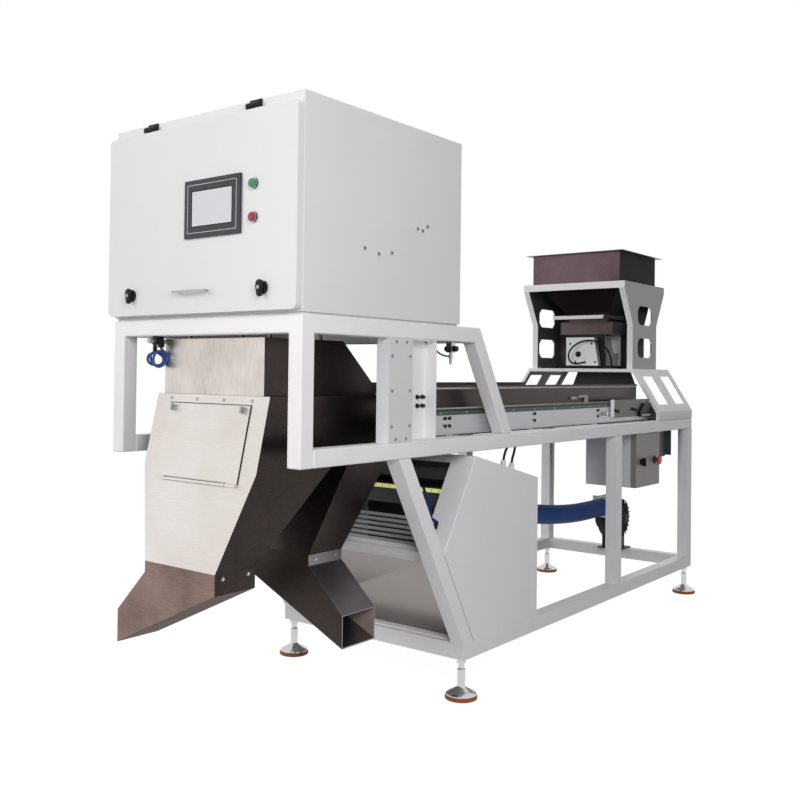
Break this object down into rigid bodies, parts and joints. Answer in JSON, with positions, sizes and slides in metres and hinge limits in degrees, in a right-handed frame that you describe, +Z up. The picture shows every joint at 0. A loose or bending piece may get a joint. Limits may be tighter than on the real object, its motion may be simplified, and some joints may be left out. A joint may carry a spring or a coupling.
{
  "type": "optical colour sorter",
  "caption": "Belt-type optical colour sorter: white tube frame, camera cabinet with touch screen, twin chutes, conveyor and feed hopper.",
  "frame": {"origin": "middle of the bounding box on the floor", "axes": "+Z up, -Y towards the cabinet door, +X to the operator's right"},
  "size_m": [0.856, 2.83, 1.782],
  "materials": {
    "frame_white": "satin white powder coat",
    "cabinet_white": "satin white powder coat",
    "bright_steel": "brushed",
    "brown_steel": "brushed, toned brown by its surroundings",
    "dark_steel": "satin",
    "aluminium": "satin",
    "chrome": "polished",
    "zinc": "satin",
    "rubber_foot": "matte",
    "black_plastic": "matte",
    "grey_plastic": "satin",
    "light_grey": "satin",
    "screen_glass": "gloss",
    "green_plastic": "gloss",
    "red_plastic": "gloss",
    "strip_green": "satin",
    "belt_green": "matte",
    "seal_pale": "satin",
    "lamp_yellow": "gloss",
    "hose_blue": "satin",
    "line_blue": "gloss",
    "cable_black": "matte"
  },
  "bodies": {
    "base": {"head_frame": "frame_white", "side_rails": "frame_white", "lower_frame": "frame_white", "cabinet_shell": "cabinet_white", "side_bolts": "zinc", "cabinet_hinges": "black_plastic", "cameras": "grey_plastic", "side_pans": "frame_white", "cover_plates": "frame_white", "ejector_bar": "aluminium", "chute_hood": "dark_steel", "accept_chute": "bright_steel", "accept_spout": "brown_steel", "reject_chute": "dark_steel", "reject_spout": "brown_steel", "chute_bolts": "zinc", "lower_box": "frame_white", "slat_rack": "aluminium", "lamp_bars": "lamp_yellow", "conveyor_frame": "aluminium", "wear_strips": "strip_green", "conveyor_belt": "belt_green", "belt_guards": "brown_steel", "guard_seals": "seal_pale", "drive_motor": "dark_steel", "timing_belt": "cable_black", "hopper": "brown_steel", "feed_stand": "frame_white", "stand_base": "frame_white", "feeder_drive": "light_grey", "control_box": "light_grey", "blower_housing": "dark_steel", "air_hose": "hose_blue", "feeder_cable": "cable_black", "air_coil": "line_blue", "lines_and_fittings": "black_plastic"},
    "cabinet_door": {"door_panel": "cabinet_white", "door_hinges": "black_plastic", "door_handle": "chrome", "panel_bezels": "grey_plastic", "hmi_screen": "screen_glass"},
    "start_button": {"button_green": "green_plastic"},
    "stop_button": {"button_red": "red_plastic"},
    "left_latch": {"latch_left": "black_plastic"},
    "right_latch": {"latch_right": "black_plastic"},
    "hatch": {"inspection_door": "bright_steel"},
    "hatch_knob_left": {"inspection_knob_left": "zinc"},
    "hatch_knob_right": {"inspection_knob_right": "zinc"},
    "front_drum": {"head_drum": "zinc"},
    "rear_drum": {"tail_drum": "zinc"},
    "drive_pulley": {"motor_pulley": "zinc"},
    "feeder_pan": {"feeder_trough": "brown_steel"},
    "control_lid": {"control_door": "light_grey"},
    "isolator": {"isolator_knob": "black_plastic"},
    "stop_mushroom": {"emergency_stop": "red_plastic"},
    "impeller": {"blower_impeller": "zinc"},
    "front_left_foot": {"foot_front_left": "rubber_foot"},
    "front_right_foot": {"foot_front_right": "rubber_foot"},
    "rear_left_foot": {"foot_rear_left": "rubber_foot"},
    "rear_right_foot": {"foot_rear_right": "rubber_foot"}
  },
  "joints": [
    {"name": "cabinet_door_hinge", "type": "hinge", "parent": "base", "child": "cabinet_door", "pos_m": [0, -1.36601, 1.764], "axis": [-1, 0, 0], "range_deg": [0, 100]},
    {"name": "start_button_press", "type": "slide", "parent": "cabinet_door", "child": "start_button", "axis": [0, 1, 0], "range_m": [0, 0.004]},
    {"name": "stop_button_press", "type": "slide", "parent": "cabinet_door", "child": "stop_button", "axis": [0, 1, 0], "range_m": [0, 0.004]},
    {"name": "left_latch_turn", "type": "hinge", "parent": "cabinet_door", "child": "left_latch", "pos_m": [-0.28, -1.37701, 1.27], "axis": [0, 1, 0], "range_deg": [0, 90]},
    {"name": "right_latch_turn", "type": "hinge", "parent": "cabinet_door", "child": "right_latch", "pos_m": [0.28, -1.37701, 1.27], "axis": [0, 1, 0], "range_deg": [-90, 0]},
    {"name": "hatch_hinge", "type": "hinge", "parent": "base", "child": "hatch", "pos_m": [0, -1.36743, 0.73759], "axis": [1, 0, 0], "range_deg": [0, 110]},
    {"name": "hatch_knob_left_turn", "type": "hinge", "parent": "hatch", "child": "hatch_knob_left", "pos_m": [-0.149, -1.31856, 0.93978], "axis": [0, -0.975, 0.2223], "range_deg": [0, 90]},
    {"name": "hatch_knob_right_turn", "type": "hinge", "parent": "hatch", "child": "hatch_knob_right", "pos_m": [0.149, -1.31856, 0.93978], "axis": [0, -0.975, 0.2223], "range_deg": [-90, 0]},
    {"name": "rear_drum_spin", "type": "hinge", "parent": "base", "child": "rear_drum", "pos_m": [0, 1.08699, 0.893], "axis": [1, 0, 0], "continuous": true},
    {"name": "front_drum_spin", "type": "hinge", "parent": "base", "child": "front_drum", "pos_m": [0, -0.74701, 0.893], "axis": [1, 0, 0], "continuous": true},
    {"name": "drive_pulley_spin", "type": "hinge", "parent": "base", "child": "drive_pulley", "pos_m": [0.308, 1.19699, 0.721], "axis": [1, 0, 0], "continuous": true},
    {"name": "feeder_shake", "type": "slide", "parent": "base", "child": "feeder_pan", "axis": [0, 1, 0], "range_m": [-0.002, 0.002]},
    {"name": "control_lid_hinge", "type": "hinge", "parent": "base", "child": "control_lid", "pos_m": [0.3525, 1.08199, 0.67], "axis": [0, 0, 1], "range_deg": [0, 110]},
    {"name": "isolator_turn", "type": "hinge", "parent": "control_lid", "child": "isolator", "pos_m": [0.365, 0.86699, 0.665], "axis": [1, 0, 0], "range_deg": [0, 90]},
    {"name": "stop_mushroom_press", "type": "slide", "parent": "control_lid", "child": "stop_mushroom", "axis": [-1, 0, 0], "range_m": [0, 0.006]},
    {"name": "impeller_spin", "type": "hinge", "parent": "base", "child": "impeller", "pos_m": [0.026, 1.31699, 0.332], "axis": [1, 0, 0], "continuous": true},
    {"name": "front_left_foot_turn", "type": "hinge", "parent": "base", "child": "front_left_foot", "pos_m": [-0.375, -0.56401, 0], "axis": [0, 0, 1], "continuous": true},
    {"name": "front_right_foot_turn", "type": "hinge", "parent": "base", "child": "front_right_foot", "pos_m": [0.375, -0.56401, 0], "axis": [0, 0, 1], "continuous": true},
    {"name": "rear_left_foot_turn", "type": "hinge", "parent": "base", "child": "rear_left_foot", "pos_m": [-0.375, 1.36199, 0], "axis": [0, 0, 1], "continuous": true},
    {"name": "rear_right_foot_turn", "type": "hinge", "parent": "base", "child": "rear_right_foot", "pos_m": [0.375, 1.36199, 0], "axis": [0, 0, 1], "continuous": true}
  ],
  "couplings": [
    {"joint": "front_drum_spin", "follows": "rear_drum_spin", "ratio": 1},
    {"joint": "drive_pulley_spin", "follows": "rear_drum_spin", "ratio": 1}
  ]
}
